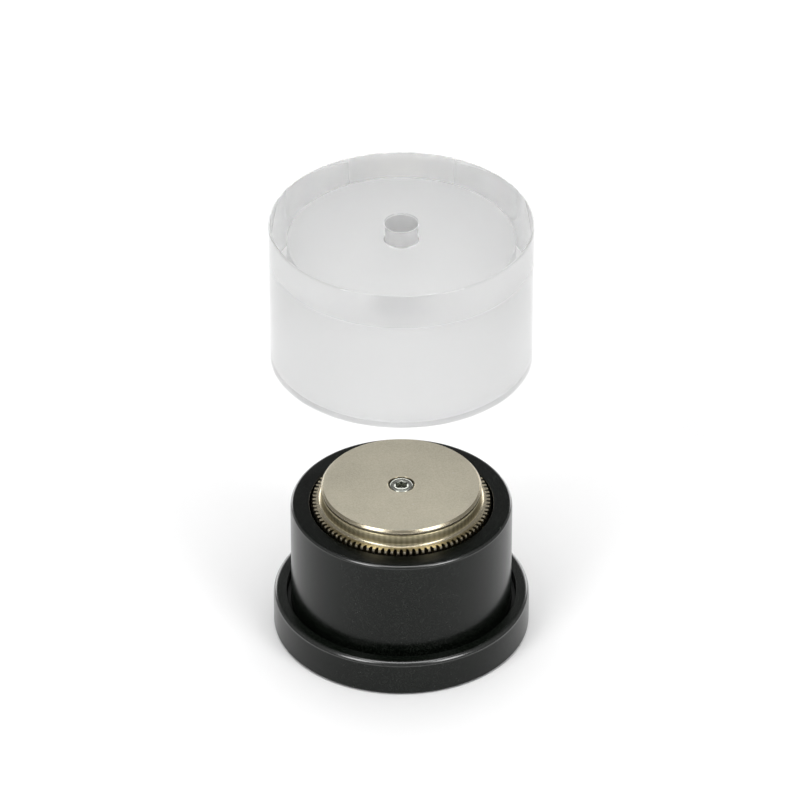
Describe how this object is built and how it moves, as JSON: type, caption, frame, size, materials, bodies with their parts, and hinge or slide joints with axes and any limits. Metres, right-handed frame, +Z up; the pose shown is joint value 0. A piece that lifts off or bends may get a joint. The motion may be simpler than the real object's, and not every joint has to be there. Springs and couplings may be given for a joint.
{
  "type": "watch case press",
  "caption": "Hand press for watch cases: black guide post on a round flange, sprung turning table with a toothed rim, and a clear cap that slides down over the post.",
  "frame": {"origin": "middle of the underside, on the bench", "axes": "+Z up along the post's axis, +X to the right as seen from the front"},
  "size_m": [0.058, 0.058, 0.1073],
  "materials": {
    "black_anodised": "satin black anodised",
    "dark_steel": "black oxide",
    "foot_rubber": "matte",
    "bronze": "bored, oiled",
    "turned_steel": "turned",
    "spring_steel": "drawn wire",
    "polished_rim": "polished, warm nickel tone",
    "matte_steel": "fine blasted, matte",
    "screw_steel": "bright",
    "clear_acrylic": "polished outside, fine turned inside"
  },
  "bodies": {
    "base": {"base_flange": "black_anodised", "guide_post": "black_anodised", "body_screws": "dark_steel", "foot_pad": "foot_rubber", "guide_bush": "bronze"},
    "carrier": {"thrust_washer": "turned_steel", "return_spring": "spring_steel"},
    "table": {"spindle": "turned_steel", "retaining_ring": "dark_steel", "toothed_ring": "polished_rim", "support_disc": "matte_steel", "clamp_screw": "screw_steel"},
    "cap": {"press_cap": "clear_acrylic"}
  },
  "joints": [
    {"name": "table_press", "type": "slide", "parent": "base", "child": "carrier", "axis": [0, 0, 1], "range_m": [-0.005, 0], "stiffness_N_per_m": 2000, "springref_m": 0.0005, "deforming": ["return_spring"]},
    {"name": "table_turn", "type": "hinge", "parent": "carrier", "child": "table", "pos_m": [0, 0, 0.0332], "axis": [0, 0, 1], "continuous": true},
    {"name": "cap_lift", "type": "slide", "parent": "base", "child": "cap", "axis": [0, 0, 1], "range_m": [-0.06015, 0.03]}
  ]
}
